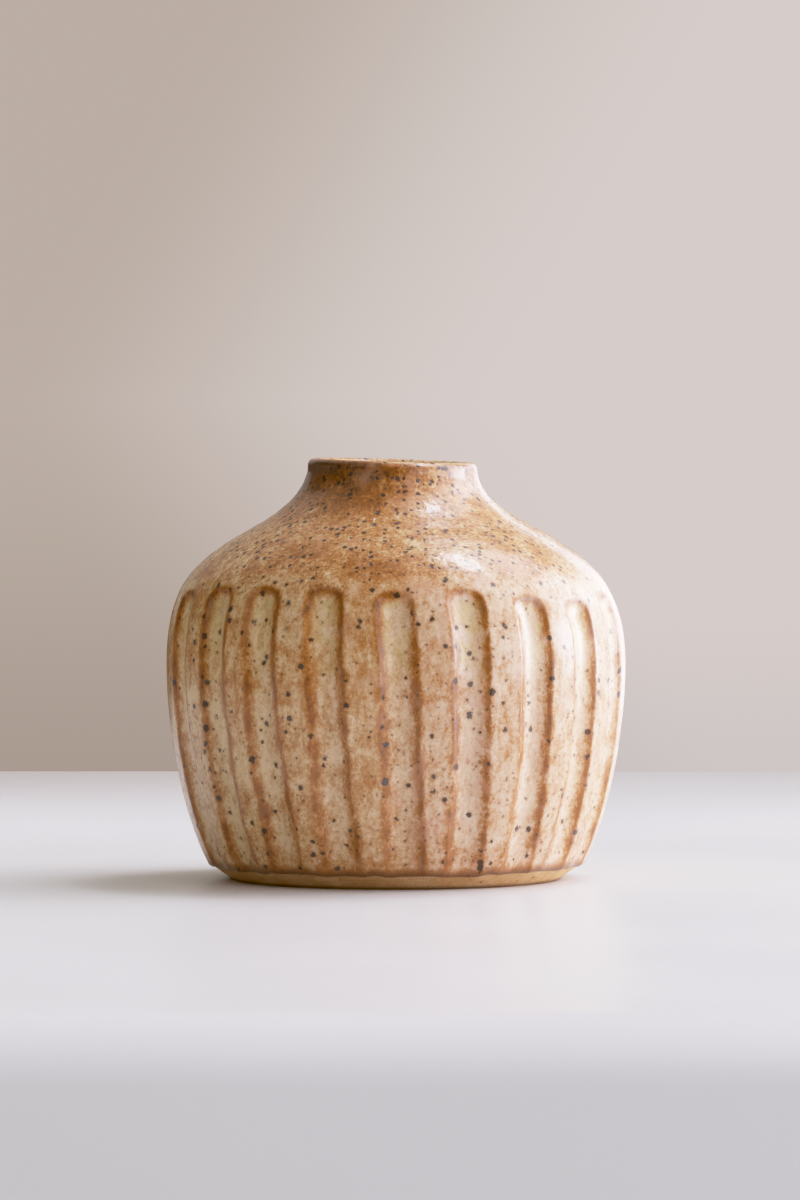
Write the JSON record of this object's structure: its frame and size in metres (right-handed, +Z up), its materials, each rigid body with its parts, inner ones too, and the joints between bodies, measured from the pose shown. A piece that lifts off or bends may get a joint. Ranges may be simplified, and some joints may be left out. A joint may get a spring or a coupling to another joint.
{
  "type": "ceramic bud vase",
  "caption": "Squat round stoneware bud vase with a sloping shoulder, a short narrow neck, carved vertical flutes and a speckled glaze that stops above a bare trimmed foot.",
  "frame": {"origin": "centre of the foot, on the surface the vase stands on", "axes": "+Z up along the vase's axis of throwing, -Y towards the viewer of the picture, +X to the viewer's right"},
  "size_m": [0.09, 0.09, 0.0823],
  "materials": {
    "stoneware": "matte",
    "outer_glaze": "satin",
    "liner_glaze": "satin"
  },
  "bodies": {
    "root": {"stoneware_body": "stoneware", "outer_glaze": "outer_glaze", "liner_glaze": "liner_glaze"}
  },
  "joints": []
}
